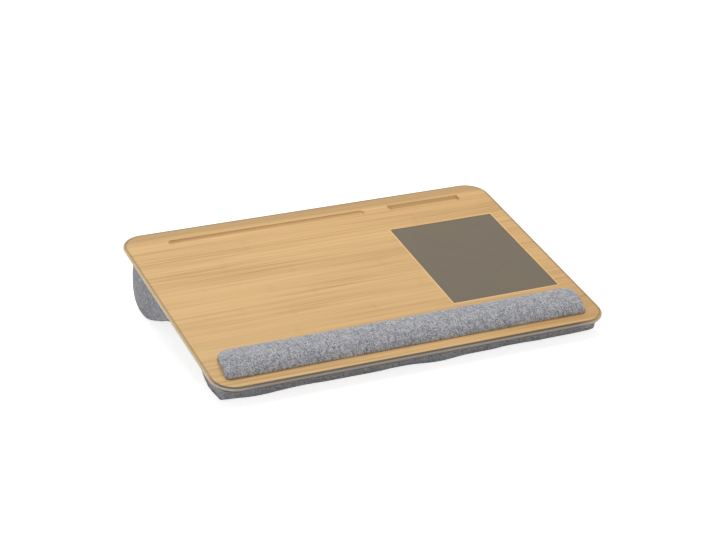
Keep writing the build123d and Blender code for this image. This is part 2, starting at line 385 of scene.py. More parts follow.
def new_group(name, inputs, outputs):
    """Make an empty shader node group with named sockets, and give it with its tree and its inputs.
    A socket's default tells its kind: none for a vector, a number, or a colour."""
    group = bpy.data.node_groups.new(name, "ShaderNodeTree")
    for direction, sockets in (("INPUT", inputs), ("OUTPUT", outputs)):
        for label, default in sockets.items():
            kind = {type(None): "Vector", float: "Float"}.get(type(default), "Color")
            socket = group.interface.new_socket(
                label, in_out=direction, socket_type="NodeSocket" + kind)
            if direction == "INPUT" and default is not None:
                socket.default_value = rgba(default) if kind == "Color" else default
    tree = Tree(group)
    return group, tree, tree.node("NodeGroupInput").outputs


def bamboo_group():
    """Strips of bamboo along X, with fibres, knuckles, a shade of its own for each strip, and
    painted shade towards the right and the front.
    """
    group, t, given = new_group("Bamboo Grain", {
        "Place": None, "Light": (0.8, 0.5, 0.25), "Dark": (0.5, 0.3, 0.12),
        "Strip Width": 0.02, "Knuckle Spacing": 0.25}, SURFACE)
    x, y, z = t.split(given["Place"])
    in_strips = t.math("DIVIDE", y, given["Strip Width"])
    strip = t.math("FLOOR", in_strips)
    chance = t.give("ShaderNodeTexWhiteNoise", {"W": strip}, noise_dimensions="1D")
    own = t.times(chance, 7.0)
    along = t.plus(x, own)

    hair = t.drawn_noise(along, y, 9.0, 1500.0, own)
    streak = t.drawn_noise(along, y, 4.0, 430.0, own, 3.0)
    cloud = t.drawn_noise(along, y, 3.0, 60.0, own)
    busy = t.drawn_noise(x, y, 4.0, 16.0, 4.0)
    in_spacing = t.math("FRACT", t.math("DIVIDE", along, given["Knuckle Spacing"]))
    to_knuckle = t.math("ABSOLUTE", t.minus(in_spacing, 0.5))
    knuckle = t.times(t.remap(to_knuckle, 0.0, 0.030, 1.0, 0.0), t.remap(hair, 0.35, 0.65))
    to_joint = t.minus(0.5, t.math("ABSOLUTE", t.minus(t.math("FRACT", in_strips), 0.5)))
    joint = t.remap(to_joint, 0.0, 0.02, 1.0, 0.0)

    dark = t.times(t.remap(streak, 0.46, 0.70), t.remap(busy, 0.38, 0.62, 0.22, 0.75))
    for more in (
            t.times(t.remap(hair, 0.45, 0.75), 0.22),
            t.times(t.minus(chance, 0.5), 0.22),
            t.times(t.minus(cloud, 0.5), 0.70),
            # Painted shade: darker towards the right, and towards the front from FRONT_SHADE_FROM
            # rightwards
            t.remap(x, -HALF_WIDTH, HALF_WIDTH, 0.0, 0.16),
            t.times(t.remap(y, HALF_DEPTH, -HALF_DEPTH, 0.0, 0.12),
                    t.remap(x, -HALF_WIDTH, FRONT_SHADE_FROM)),
            t.times(knuckle, 0.16),
            t.times(joint, 0.08)):
        dark = t.plus(dark, more)
    t.node("NodeGroupOutput", {
        "Color": t.mix(dark, given["Light"], given["Dark"]),
        "Height": t.minus(t.times(hair, 0.5), t.times(joint, 0.3)),
        "Roughness": t.remap(streak, 0.0, 1.0, 0.36, 0.50)})
    return group


def outline_group():
    """How far a place lies outside a rectangle with rounded corners, as on a board's face."""
    group, t, given = new_group("Rounded Outline", {
        "Place": None, "Half Width": 0.2, "Half Depth": 0.1, "Corner Radius": 0.02},
        {"Distance": 0.0})
    x, y, z = t.split(given["Place"])
    radius = given["Corner Radius"]
    past_x = t.minus(t.math("ABSOLUTE", x), t.minus(given["Half Width"], radius))
    past_y = t.minus(t.math("ABSOLUTE", y), t.minus(given["Half Depth"], radius))
    out_x = t.math("MAXIMUM", past_x, 0.0)
    out_y = t.math("MAXIMUM", past_y, 0.0)
    corner = t.math("SQRT", t.plus(t.times(out_x, out_x), t.times(out_y, out_y)))
    inner = t.math("MINIMUM", t.math("MAXIMUM", past_x, past_y), 0.0)
    t.node("NodeGroupOutput", {"Distance": t.minus(t.plus(corner, inner), radius)})
    return group


def weave_group():
    """Plain weave of mixed light and dark threads, drawn on a map in metres."""
    group, t, given = new_group("Heather Weave", {
        "Map": None, "Light": (0.4, 0.4, 0.42), "Middle": (0.25, 0.25, 0.27),
        "Dark": (0.1, 0.1, 0.12), "Thread Pitch": 0.001}, SURFACE)
    u, v, w = t.split(given["Map"])
    pitch = given["Thread Pitch"]

    # Which thread lies where, and which of the two is on top
    fuzz = t.minus(t.noise(given["Map"], 1700.0), 0.5)
    drift = t.minus(t.noise(given["Map"], 260.0), 0.5)
    warp_at = t.plus(t.math("DIVIDE", u, pitch), t.plus(t.times(fuzz, 1.5), drift))
    weft_at = t.minus(t.math("DIVIDE", v, pitch), t.minus(t.times(fuzz, 1.5), drift))
    warp = t.math("FLOOR", warp_at)
    weft = t.math("FLOOR", weft_at)
    over = t.math("FLOORED_MODULO", t.plus(warp, weft), 2.0)
    under = t.minus(1.0, over)
    warp_cell = t.join(warp, t.math("FLOOR", t.plus(t.times(weft_at, 0.37), t.times(warp, 0.37))))
    weft_part = t.math("FLOOR", t.plus(t.times(warp_at, 0.37), t.times(weft, 0.41)))
    weft_cell = t.join(weft_part, weft, 7.0)

    # Tones of the dyed fibres
    tone = t.plus(t.times(t.chance(warp_cell), over), t.times(t.chance(weft_cell), under))
    slub = t.drawn_noise(u, v, 420.0, 520.0, detail=3.0)
    patch = t.drawn_noise(u, v, 60.0, 90.0, 9.0)
    tone = t.plus(t.times(tone, 0.72), t.times(slub, 0.28))
    tone = t.plus(tone, t.times(t.minus(patch, 0.4), 0.22))
    low = t.mix(t.remap(tone, 0.12, 0.50), given["Dark"], given["Middle"])
    color = t.mix(t.remap(tone, 0.48, 0.86), low, given["Light"])
    tint = t.chance(t.vectors("ADD", warp_cell, weft_cell))
    color = t.mix(t.remap(tint, 0.6, 1.0, 0.0, 0.28), color, rgba((0.35, 0.385, 0.54)))

    # Round threads: painted shade at their sides and where they dip, where the bump makes them
    # lower too
    half_u = t.math("SINE", t.times(t.math("FRACT", warp_at), math.pi))
    half_v = t.math("SINE", t.times(t.math("FRACT", weft_at), math.pi))
    cross = t.plus(t.times(half_u, over), t.times(half_v, under))
    arch = t.plus(t.times(half_v, over), t.times(half_u, under))
    thread = t.times(t.remap(cross, 0.0, 0.7, 0.55, 1.0), t.remap(arch, 0.0, 0.6, 0.72, 1.0))
    t.node("NodeGroupOutput", {
        "Color": t.shade(color, thread),
        "Height": t.plus(t.times(cross, t.remap(arch, 0.0, 1.0, 0.6, 1.0)), t.times(fuzz, 0.9)),
        "Roughness": t.remap(tone, 0.3, 0.7, 0.95, 0.82)})
    return group


def empty_tree(owner):
    """The node tree of a material or a world, with its nodes taken out."""
    owner.use_nodes = True
    owner.node_tree.nodes.clear()
    return Tree(owner.node_tree)


def new_material(name):
    """A new material and its empty tree."""
    material = bpy.data.materials.new(name)
    return material, empty_tree(material)


def coat(t, **values):
    """End a material's tree with a Principled shader that takes these values and sockets."""
    inputs = {name.replace("_", " "): value for name, value in values.items()}
    shader = t.give("ShaderNodeBsdfPrincipled", inputs)
    t.node("ShaderNodeOutputMaterial", {"Surface": shader})


def board_place(t):
    """Object coordinates turned into the board's plane, with their zero in its face's middle."""
    middle = (board_low + board_high) / 2
    return t.give("ShaderNodeMapping", {
        "Vector": t.place(), "Location": from_board((middle.x, middle.y, board_high.z)),
        "Rotation": (BOARD_SLOPE, 0.0, 0.0)}, vector_type="TEXTURE")


def past_outline(t, tree, place, low, high, radius):
    """How far a place lies outside a rounded rectangle of a box's width and depth."""
    return t.group(tree, {
        "Place": place, "Half Width": (high.x - low.x) / 2, "Half Depth": (high.y - low.y) / 2,
        "Corner Radius": radius})["Distance"]


def wood_material(name, groups, light, dark, joint=0.0, band=None):
    """Lacquered bamboo. A joint adds the dark glue line inside the edge band, drawn stronger along
    the front as painted shade, a painted highlight on the edge round the pad's recess and a darker
    strip at the back. A band colour is that of all edges but the front, which keeps the darker
    colours passed in as painted shade, with painted light at its left end and a painted shadow on
    its undercut."""
    wood = bpy.context.scene.tray_wood
    material, t = new_material(name)
    place = board_place(t)
    grain = t.group(groups["bamboo"], {
        "Place": place, "Light": rgba(light), "Dark": rgba(dark),
        "Strip Width": wood.strip_width, "Knuckle Spacing": wood.knuckle_spacing})
    color, height = grain["Color"], grain["Height"]
    if joint:
        low, high = board_box("face_ply")
        across, along, above = t.split(place)
        # side is 0 along the front and 1 along the other edges: it marks where the band is painted
        # in shade
        side = t.math("MAXIMUM", t.remap(across, *(high.x - inset for inset in RIGHT_FADE)),
                      t.remap(along, *(low.y + inset for inset in FRONT_FADE)))
        if band:
            # Painted light: the front band much lighter at its left end, where the left lamp
            # catches it, and a little lighter elsewhere
            painted_left_light = t.remap(across, *(low.x + inset for inset in LEFT_FADE), 1.55, 1.08)
            color = t.mix(side, t.shade(color, painted_left_light), t.mix(0.12, rgba(band), color))
            # Painted shadow: the band's lower part turns near-black, most along the front, where
            # the board's shadow falls
            under = t.remap(above, *UNDERCUT, 1.0, 0.0)
            painted_undercut_shadow = t.times(under, t.remap(side, 0.0, 1.0, 0.95, 0.45))
            color = t.mix(painted_undercut_shadow, color, rgba(UNDERCUT_SHADOW_COLOR))

        pad_low, pad_high = board_box("mouse_pad")
        offset = (pad_low + pad_high - low - high) / 2
        from_pad = t.vectors("SUBTRACT", place, (offset.x, offset.y, 0.0))
        past_recess = past_outline(t, groups["outline"], from_pad, pad_low, pad_high, RECESS_RADIUS)
        # Painted highlight: a pale line on the wood round the pad's recess, as where light catches
        # its edge
        to_arris = t.math("ABSOLUTE", t.minus(past_recess, ARRIS_HIGHLIGHT_WIDTH))
        arris_highlight = t.remap(to_arris, ARRIS_HIGHLIGHT_WIDTH * 0.6, ARRIS_HIGHLIGHT_WIDTH, 0.6, 0.0)
        color = t.mix(arris_highlight, color, rgba(min(c * 1.35, 0.9) for c in light))

        corner = CORNER_RADIUS - (low.x - board_low.x)
        to_joint = t.math("ABSOLUTE", past_outline(t, groups["outline"], place, low, high, corner))
        line = t.remap(to_joint, wood.joint_width * 0.5, wood.joint_width, 1.0, 0.0)
        # Dark glue line, at full strength along the front and half along the other edges: that
        # difference is painted shade
        strength = t.times(line, t.remap(side, 0.0, 1.0, joint, joint * 0.5))
        color = t.mix(strength, color, rgba(JOINT_COLOR))
        color = t.shade(color, t.remap(along, *(high.y - inset for inset in BACK_SHADE), 1.0, 0.78))
        height = t.minus(height, line)
    coat(t, Base_Color=color, Roughness=grain["Roughness"], Normal=t.bump(height, 0.00006),
         Specular_IOR_Level=0.26, Coat_Weight=0.06, Coat_Roughness=0.28)
    return material


def fabric_material(name, groups, shade=1.0):
    """Heather fabric on the piece's own map."""
    fabric = bpy.context.scene.tray_fabric
    material, t = new_material(name)
    weave = t.group(groups["weave"], {
        "Map": t.give("ShaderNodeUVMap", uv_map=FABRIC_MAP),
        "Light": rgba(fabric.light_color, shade), "Middle": rgba(fabric.mid_color, shade),
        "Dark": rgba(fabric.dark_color, shade), "Thread Pitch": fabric.thread_pitch})
    coat(t, Base_Color=weave["Color"], Roughness=weave["Roughness"],
         Normal=t.bump(weave["Height"], 0.00028), Specular_IOR_Level=0.25,
         Sheen_Weight=0.18, Sheen_Roughness=0.55)
    return material


def pad_material():
    """Soft matte surface of the inlaid pad, with a fine pebbled grain."""
    pad = bpy.context.scene.tray_pad
    material, t = new_material("inlaid_pad")
    place = t.place()
    pebble = t.cells(place, 1100.0)
    cloud = t.noise(place, 35.0, 3.0)
    color = t.mix(t.remap(cloud, 0.3, 0.7), rgba(pad.color, 0.93), rgba(pad.color, 1.07))
    color = t.mix(t.remap(pebble, 0.0, 0.6, 0.0, 0.25), color, rgba(pad.color, 0.6))
    coat(t, Base_Color=color, Roughness=t.remap(cloud, 0.3, 0.7, 0.62, 0.72),
         Normal=t.bump(pebble, 0.00012), Specular_IOR_Level=0.35, Sheen_Weight=0.05)
    return material


def tape_material(name, color, scale):
    """Woven tape with a pile of tiny loops or hooks."""
    material, t = new_material(name)
    place = t.place()
    loops = t.cells(place, scale)
    fuzz = t.noise(place, scale * 2)
    pile = t.mix(t.remap(loops, 0.1, 0.7), rgba(color, 1.8), rgba(color))
    pile = t.mix(t.remap(fuzz, 0.4, 0.8, 0.0, 0.3), pile, rgba(color, 2.4))
    coat(t, Base_Color=pile, Roughness=0.85, Normal=t.bump(loops, 0.0004), Sheen_Weight=0.2)
    return material


def plain_material(name, light, dark, scale, roughness):
    """Cloudy material for the glue film and the rest's inner board."""
    material, t = new_material(name)
    cloud = t.noise(t.place(), scale, 4.0, 0.6)
    coat(t, Base_Color=t.mix(t.remap(cloud, 0.3, 0.7), rgba(dark), rgba(light)),
         Roughness=t.remap(cloud, 0.3, 0.7, roughness, roughness + 0.1),
         Normal=t.bump(cloud, 0.0002))
    return material


def thread_material(name, color):
    """Twisted sewing thread."""
    material, t = new_material(name)
    twist = t.noise(t.place(), 2600.0)
    coat(t, Base_Color=t.mix(t.remap(twist, 0.35, 0.65), rgba(color, 0.7), rgba(color)),
         Roughness=t.remap(twist, 0.3, 0.7, 0.55, 0.75), Normal=t.bump(twist, 0.00008),
         Sheen_Weight=0.1)
    return material


# Forms

def merged_copy(node):
    """A bmesh of a CAD node with its loose triangles joined."""
    bm = bmesh.new()
    bm.from_mesh(nodes[node].data)
    bmesh.ops.remove_doubles(bm, verts=bm.verts, dist=WELD)
    return bm


def placed(name, data):
    """A new object of the scene."""
    made = bpy.data.objects.new(name, data)
    bpy.context.scene.collection.objects.link(made)
    return made


def piece_from(bm, name, smooth=True):
    """A new object made of a bmesh, which is freed."""
    bmesh.ops.recalc_face_normals(bm, faces=bm.faces)
    mesh = bpy.data.meshes.new(name)
    bm.to_mesh(mesh)
    bm.free()
    if smooth:
        mesh.shade_smooth()
    return placed(name, mesh)


def section(bm, x):
    """The longest loop of points where the plane at x cuts a mesh."""
    cut = bm.copy()
    faces = cut.verts[:] + cut.edges[:] + cut.faces[:]
    got = bmesh.ops.bisect_plane(cut, geom=faces, plane_co=(x, 0, 0), plane_no=(1, 0, 0))
    edges = [e for e in got["geom_cut"] if isinstance(e, bmesh.types.BMEdge)]
    beside = {}
    for edge in edges:
        a, b = edge.verts
        beside.setdefault(a, []).append(b)
        beside.setdefault(b, []).append(a)
    best, best_length = [], 0.0
    unused = set(beside)
    for start in beside:
        if start not in unused:
            continue
        loop, last, at = [start], None, start
        while True:
            ways = [v for v in beside[at]
                    if v is not last and (v in unused or v is start) and v is not at]
            unused.discard(at)
            if not ways or ways[0] is start:
                break
            last, at = at, ways[0]
            loop.append(at)
        points = [v.co.copy() for v in loop]
        length = sum((p - q).length for p, q in zip(points, points[1:] + points[:1]))
        if length > best_length:
            best, best_length = points, length
    cut.free()
    return best


def spread_evenly(points, count):
    """Points at even steps along a line, both ends kept."""
    lengths = [0.0]
    for p, q in zip(points, points[1:]):
        lengths.append(lengths[-1] + (q - p).length)
    out, at = [], 0
    for step in range(count + 1):
        goal = lengths[-1] * step / count
        while at < len(points) - 2 and lengths[at + 1] < goal:
            at += 1
        span = max(lengths[at + 1] - lengths[at], 1e-12)
        out.append(points[at].lerp(points[at + 1], (goal - lengths[at]) / span))
    return out


def two_sides(loop, corners_high):
    """Split a loop at its flat side's corners into the curved and the flat side, front first."""
    places = [to_board(p) for p in loop]
    level = max(p.z for p in places) if corners_high else min(p.z for p in places)
    flat = [i for i, p in enumerate(places) if abs(p.z - level) < FLAT_WITHIN]
    front = min(flat, key=lambda i: places[i].y)
    back = max(flat, key=lambda i: places[i].y)
    turned = loop[front:] + loop[:front]
    cut = (back - front) % len(loop)
    one = turned[:cut + 1]
    other = [turned[0]] + turned[:cut - 1:-1]

    def strays(side):
        return max(abs(to_board(p).z - level) for p in side)

    return (one, other) if strays(one) > strays(other) else (other, one)


def stations(low, high, spacing, ends):
    """Places from low to high: even steps, closer near both ends."""
    near = [ends * (1 - math.cos(math.pi / 2 * k / END_STEPS)) for k in range(END_STEPS)]
    count = round((high - low - 2 * ends) / spacing)
    even = [low + ends + (high - low - 2 * ends) * k / count for k in range(count + 1)]
    return [low + n for n in near] + even + [high - n for n in reversed(near)]


def form_mesh(name, rings, cap_rings, map_zero):
    """A closed piece of like rings along X, with both ends closed by smaller and smaller rings, and
    the numbers of the first point of the rings given and of the first one after them."""
    size = len(rings[0])
    bm = bmesh.new()
    weave = bm.loops.layers.uv.new(FABRIC_MAP)

    def shrunk(ring, share):
        middle = sum(ring, Vector()) / size
        return [middle.lerp(p, share) for p in ring]

    shares = [k / cap_rings for k in range(1, cap_rings)] + list(RIM_SHARES)
    left = [shrunk(rings[0], share) for share in shares]
    right = [shrunk(rings[-1], share) for share in reversed(shares)]
    rows = [[bm.verts.new(p) for p in ring] for ring in left + list(rings) + right]
    first, last = len(left), len(left) + len(rings) - 1
    for i, (a, b) in enumerate(zip(rows, rows[1:])):
        around = 0.0
        for k in range(size):
            n = (k + 1) % size
            face = bm.faces.new((a[k], b[k], b[n], a[n]))
            step = (rings[0][n] - rings[0][k]).length
            for loop in face.loops:
                co = loop.vert.co
                if first <= i < last:
                    loop[weave].uv = (co.x, around + (step if loop.vert in (a[n], b[n]) else 0.0))
                else:
                    loop[weave].uv = (co.y + map_zero, co.z)
            around += step
    for row, turn in ((rows[0], 1), (rows[-1], -1)):
        hub = bm.verts.new(sum((v.co for v in row), Vector()) / size)
        for k in range(size):
            n = (k + 1) % size
            face = bm.faces.new((hub, row[k], row[n]) if turn > 0 else (hub, row[n], row[k]))
            for loop in face.loops:
                loop[weave].uv = (loop.vert.co.y + map_zero, loop.vert.co.z)
    return piece_from(bm, name), first * size, (last + 1) * size


def blow_up(piece, pinned, pressure, swell):
    """Fill a closed form as a cloth bag. Each point keeps its move along its normal: out by swell
    at most, and in by SLACK at most."""
    start = [v.co.copy() for v in piece.data.vertices]
    outward = [v.normal.copy() for v in piece.data.vertices]
    group = piece.vertex_groups.new(name="sewn")
    group.add(pinned, 1.0, "REPLACE")
    cloth = piece.modifiers.new("Fill", "CLOTH")
    settings = cloth.settings
    for name, value in CLOTH.items():
        setattr(settings, name, value)
    settings.uniform_pressure_force = pressure
    settings.effector_weights.gravity = 0
    settings.vertex_group_mass = group.name
    cloth.collision_settings.use_collision = False
    cloth.point_cache.frame_start = 1
    cloth.point_cache.frame_end = SIM_FRAMES
    scene = bpy.context.scene
    for step in range(1, SIM_FRAMES + 1):
        scene.frame_set(step)
    filled = piece.evaluated_get(bpy.context.evaluated_depsgraph_get())
    moved = [v.co.copy() for v in filled.to_mesh().vertices]
    filled.to_mesh_clear()
    piece.modifiers.remove(cloth)
    piece.vertex_groups.remove(group)
    scene.frame_set(1)
    for vertex, old, new, normal in zip(piece.data.vertices, start, moved, outward):
        step = (new - old).dot(normal)
        vertex.co = old + normal * min(max(step, -SLACK), swell)


def subdivide(piece):
    """Smooth a piece by one real subdivision."""
    smooth = piece.modifiers.new("Smooth", "SUBSURF")
    smooth.levels = smooth.render_levels = 1
    smooth.use_limit_surface = False
    graph = bpy.context.evaluated_depsgraph_get()
    mesh = bpy.data.meshes.new_from_object(piece.evaluated_get(graph), depsgraph=graph)
    piece.modifiers.clear()
    old = piece.data
    piece.data = mesh
    mesh.name = old.name
    bpy.data.meshes.remove(old)
    mesh.shade_smooth()


def stitch_tree():
    """A Geometry Nodes tree that sews a row of short stitches along the edges of a mesh."""
    tree = bpy.data.node_groups.new(STITCHES, "GeometryNodeTree")
    tree.is_modifier = True
    for label, kind, default in (
            ("Geometry", "Geometry", None), ("Stitch Length", "Float", 0.003),
            ("Gap", "Float", 0.0014), ("Thread Radius", "Float", 0.0003),
            ("Unevenness", "Float", 0.12), ("Seed", "Int", 7), ("Thread", "Material", None)):
        socket = tree.interface.new_socket(label, in_out="INPUT", socket_type="NodeSocket" + kind)
        if default is not None:
            socket.default_value = default
    tree.interface.new_socket("Geometry", in_out="OUTPUT", socket_type="NodeSocketGeometry")
    t = Tree(tree)
    given = t.node("NodeGroupInput").outputs
    path = t.give("GeometryNodeMeshToCurve", {"Mesh": given["Geometry"]})
    pitch = t.plus(given["Stitch Length"], given["Gap"])
    even = t.give("GeometryNodeResampleCurve", {"Curve": path, "Length": pitch}, mode="LENGTH")
    ball = t.give("GeometryNodeMeshUVSphere", {"Segments": 6, "Rings": 5, "Radius": 1.0}, "Mesh")
    radius, half = given["Thread Radius"], t.times(given["Stitch Length"], 0.5)
    stitch = t.give("GeometryNodeTransform", {
        "Geometry": ball, "Scale": t.join(radius, radius, half)})
    tangent = t.give("GeometryNodeInputTangent")
    turned = t.give("FunctionNodeAlignRotationToVector", {"Vector": tangent}, axis="Z")
    least = t.minus(1.0, given["Unevenness"])
    uneven = t.give("FunctionNodeRandomValue", {2: least, 3: 1.0, 8: given["Seed"]}, 1,
                    data_type="FLOAT")
    sewn = t.give("GeometryNodeInstanceOnPoints", {
        "Points": even, "Instance": stitch, "Rotation": turned, "Scale": uneven})
    sewn = t.give("GeometryNodeRealizeInstances", {"Geometry": sewn})
    sewn = t.give("GeometryNodeSetShadeSmooth", {"Geometry": sewn})
    sewn = t.give("GeometryNodeSetMaterial", {"Geometry": sewn, "Material": given["Thread"]})
    t.node("NodeGroupOutput", {"Geometry": sewn})
    return tree


def sew(name, paths, length, thread):
    """Add a piece made of the stitches along some lines of points."""
    tree = bpy.data.node_groups.get(STITCHES) or stitch_tree()
    mesh = bpy.data.meshes.new(name + "_line")
    points, edges = [], []
    for path in paths:
        edges += [(len(points) + k, len(points) + k + 1) for k in range(len(path) - 1)]
        points += path
    mesh.from_pydata(points, edges, [])
    line = placed(name + "_line", mesh)
    needle = line.modifiers.new("Stitches", "NODES")
    needle.node_group = tree
    sockets = {item.name: item.identifier for item in tree.interface.items_tree
               if item.item_type == "SOCKET" and item.in_out == "INPUT"}
    needle[sockets["Stitch Length"]] = length
    needle[sockets["Thread"]] = thread
    graph = bpy.context.evaluated_depsgraph_get()
    sewn = bpy.data.meshes.new_from_object(line.evaluated_get(graph), depsgraph=graph)
    sewn.name = name
    line.modifiers.clear()
    bpy.data.objects.remove(line)
    bpy.data.meshes.remove(mesh)
    finish_piece(placed(name, sewn), "cushion_fabric", thread)


def finish_piece(piece, slot_name, material, *stands_for):
    """Give a piece its material, attach it to the tray's body and hide the CAD nodes it stands for.
    """
    piece.data.materials.clear()
    piece.data.materials.append(material)
    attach(piece, BODY)
    if stands_for:
        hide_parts(*stands_for)


def bolster(name, material):
    """Make a bolster: a sleeve with a sewn panel at each end, filled and sat on the floor."""
    fabric = bpy.context.scene.tray_fabric
    cover, fill, left, right = (
        name + end for end in ("_cover", "_fill", "_left_end", "_right_end"))
    bm = merged_copy(cover)
    low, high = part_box(left)[0].x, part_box(right)[1].x
    cover_low, cover_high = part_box(cover)
    rings = []
    for x in stations(low, high, RING_SPACING, BOLSTER_END):
        at = min(max(x, cover_low.x + CUT_INSET), cover_high.x - CUT_INSET)
        curved, flat = two_sides(section(bm, at), True)
        under = spread_evenly(curved, UNDER_STEPS)
        top = spread_evenly(flat[::-1], TOP_STEPS)
        rings.append([Vector((x, p.y, p.z)) for p in under[:-1] + top[:-1]])
    bm.free()
    piece, tube_start, tube_end = form_mesh(name, rings, END_RINGS, CUSHION_MAP_ZERO)
    points = piece.data.vertices
    ceiling = max(to_board(v.co).z for v in points)
    size = len(rings[0])
    sewn = [v.index for v in points if to_board(v.co).z > ceiling - LEVEL_SLACK]
    blow_up(piece, sewn, fabric.pressure, fabric.cushion_swell)

    # The end seams, puckers beside them, soft waves, and sags low down
    ring_starts = (tube_start, tube_end - size)
    normals = [v.normal.copy() for v in points]
    for vertex in points:
        x, y, z = vertex.co
        seam = any(0 <= vertex.index - first < size for first in ring_starts)
        far = min(abs(x - low), abs(x - high))
        pucker = noise.noise(Vector((y * PUCKERS_ROUND, z * PUCKERS_ROUND, x * PUCKERS_ALONG)))
        wave = noise.noise(vertex.co * WAVES_PER_METRE + WAVE_SHIFT)
        sag = noise.noise(Vector((x * SAGS_ALONG, y * SAGS_DEEP, SAG_SHIFT)))
        sag *= max(0, 1 - z / SAG_HEIGHT)
        depth = fabric.seam_depth if seam else 0.0
        depth += PUCKER_DEPTH * pucker * math.exp(-far / PUCKER_REACH)
        depth += WAVE_DEPTH * wave + SAG_DEPTH * sag * (1 - math.exp(-far / SAG_REACH))
        if to_board(vertex.co).z < ceiling - SEWN_STRIP:
            vertex.co -= normals[vertex.index] * depth
    subdivide(piece)
    points = piece.data.vertices
    for vertex in points:
        place = to_board(vertex.co)
        if place.z > ceiling:
            vertex.co = from_board((place.x, place.y, ceiling))
        vertex.co.z = max(vertex.co.z, 0)
    finish_piece(piece, "cushion_fabric", material, cover, fill, left, right)
    stitched = range(SEAM_SKIP, UNDER_STEPS + 1 - SEAM_SKIP)
    seams = [[points[first + k].co + points[first + k].normal * THREAD_ABOVE for k in stitched]
             for first in ring_starts]
    thread = bpy.data.materials.get("seam_thread")
    thread = thread or thread_material("seam_thread", fabric.seam_color)
    sew(name + "_stitches", seams, fabric.stitch_length, thread)


def drawn_in(gap, radius):
    """How far a rounded corner draws an edge in, at a distance from the end."""
    return radius - math.sqrt(max(radius ** 2 - max(radius - gap, 0) ** 2, 0))


def rest_rings(arch, low, high, lean_share):
    """The rest's sections, drawn in and sunk towards its ends, and leaning to the right."""
    front, back, floor = arch[0].y, arch[-1].y, arch[0].z
    start, end = low - REST_PAST[0], high + REST_PAST[1]
    rings = []
    for x in stations(start, end, RING_SPACING, REST_END):
        gap = min(x - start, end - x) + REST_FIRST_GAP
        share = LEAN_SHARES[0] + (LEAN_SHARES[1] - LEAN_SHARES[0]) * (x - low) / (high - low)
        near = front + drawn_in(gap, REST_FRONT_RADIUS)
        far = back - drawn_in(gap, REST_BACK_RADIUS)
        sunk = (1 - min(gap / REST_RISE, 1)) ** REST_RISE_POWER
        rise = (1 - sunk) ** (1 / REST_RISE_POWER)
        ring = []
        for p in arch:
            y = near + (far - near) * (p.y - front) / (back - front)
            lean = lean_share * share * (y - front)
            ring.append(from_board((x + lean, y, floor + (p.z - floor) * rise)))
        rings.append(ring[:-1] + spread_evenly([ring[-1], ring[0]], BASE_STEPS)[:-1])
    return rings


def panel_mesh(name, low, high, corner):
    """A thin sheet of fabric in the board's plane, with rounded corners and faint waves."""
    bm = bmesh.new()
    weave = bm.loops.layers.uv.new(FABRIC_MAP)
    wide, deep, thick = high - low
    middle = (low + high) / 2
    columns, lines = round(wide / PANEL_STEP), round(deep / PANEL_STEP)

    def point(i, j, level, inwards):
        x, y = low.x + wide * i / columns, low.y + deep * j / lines
        in_x, in_y = min(x - low.x, high.x - x), min(y - low.y, high.y - y)
        out = Vector((max(corner - in_x, 0), max(corner - in_y, 0)))
        if out.x and out.y and out.length > corner:
            out = out.normalized() * corner
            x = low.x + corner - out.x if x < middle.x else high.x - corner + out.x
            y = low.y + corner - out.y if y < middle.y else high.y - corner + out.y
        edge = min(in_x, in_y, PANEL_RIM) / PANEL_RIM
        rim = PANEL_RIM_SHARE * thick * (1 - edge) ** 2
        wave = noise.noise(Vector((x * PANEL_WAVES_PER_METRE, y * PANEL_WAVES_PER_METRE, 0)))
        z = level + inwards * rim + PANEL_WAVE_SHARE * thick * wave
        return from_board((x, y, min(z, high.z)))

    top, under = [[[bm.verts.new(point(i, j, *level)) for j in range(lines + 1)]
                   for i in range(columns + 1)] for level in ((high.z, -1), (low.z, 1))]
    for grid in (top, under):
        for i, j in product(range(columns), range(lines)):
            bm.faces.new((grid[i][j], grid[i + 1][j], grid[i + 1][j + 1], grid[i][j + 1]))
    for i, j in product(range(columns), (0, lines)):
        bm.faces.new((top[i][j], top[i + 1][j], under[i + 1][j], under[i][j]))
    for j, i in product(range(lines), (0, columns)):
        bm.faces.new((top[i][j], top[i][j + 1], under[i][j + 1], under[i][j]))
    for face in bm.faces:
        for loop in face.loops:
            loop[weave].uv = to_board(loop.vert.co).xy
    return piece_from(bm, name)


def strip_mesh(name, node):
    """The strips of a fastening tape, one for each solid of its node, with rounded corners."""
    source = merged_copy(node)
    bm = bmesh.new()
    done = set()
    for start in source.verts:
        if start in done:
            continue
        near, group = [start], set()
        while near:
            vertex = near.pop()
            if vertex in group:
                continue
            group.add(vertex)
            near += [e.other_vert(vertex) for e in vertex.link_edges]
        done |= group
        low, high = corners([to_board(v.co) for v in group])
        for vertex in bmesh.ops.create_cube(bm, size=1.0)["verts"]:
            share = vertex.co + Vector((0.5, 0.5, 0.5))
            vertex.co = from_board(low + (high - low) * share)
    source.free()
    upright = [e for e in bm.edges
               if abs((e.verts[0].co - e.verts[1].co).normalized().dot(BOARD_UP)) > 0.99]
    bmesh.ops.bevel(bm, geom=upright, offset=TAPE_CORNER, segments=4, profile=0.5, affect="EDGES")
    return piece_from(bm, name, smooth=False)


# Operators

def set_material(node, material):
    """Dress a CAD node."""
    mesh = nodes[node].data
    mesh.materials.clear()
    mesh.materials.append(material)


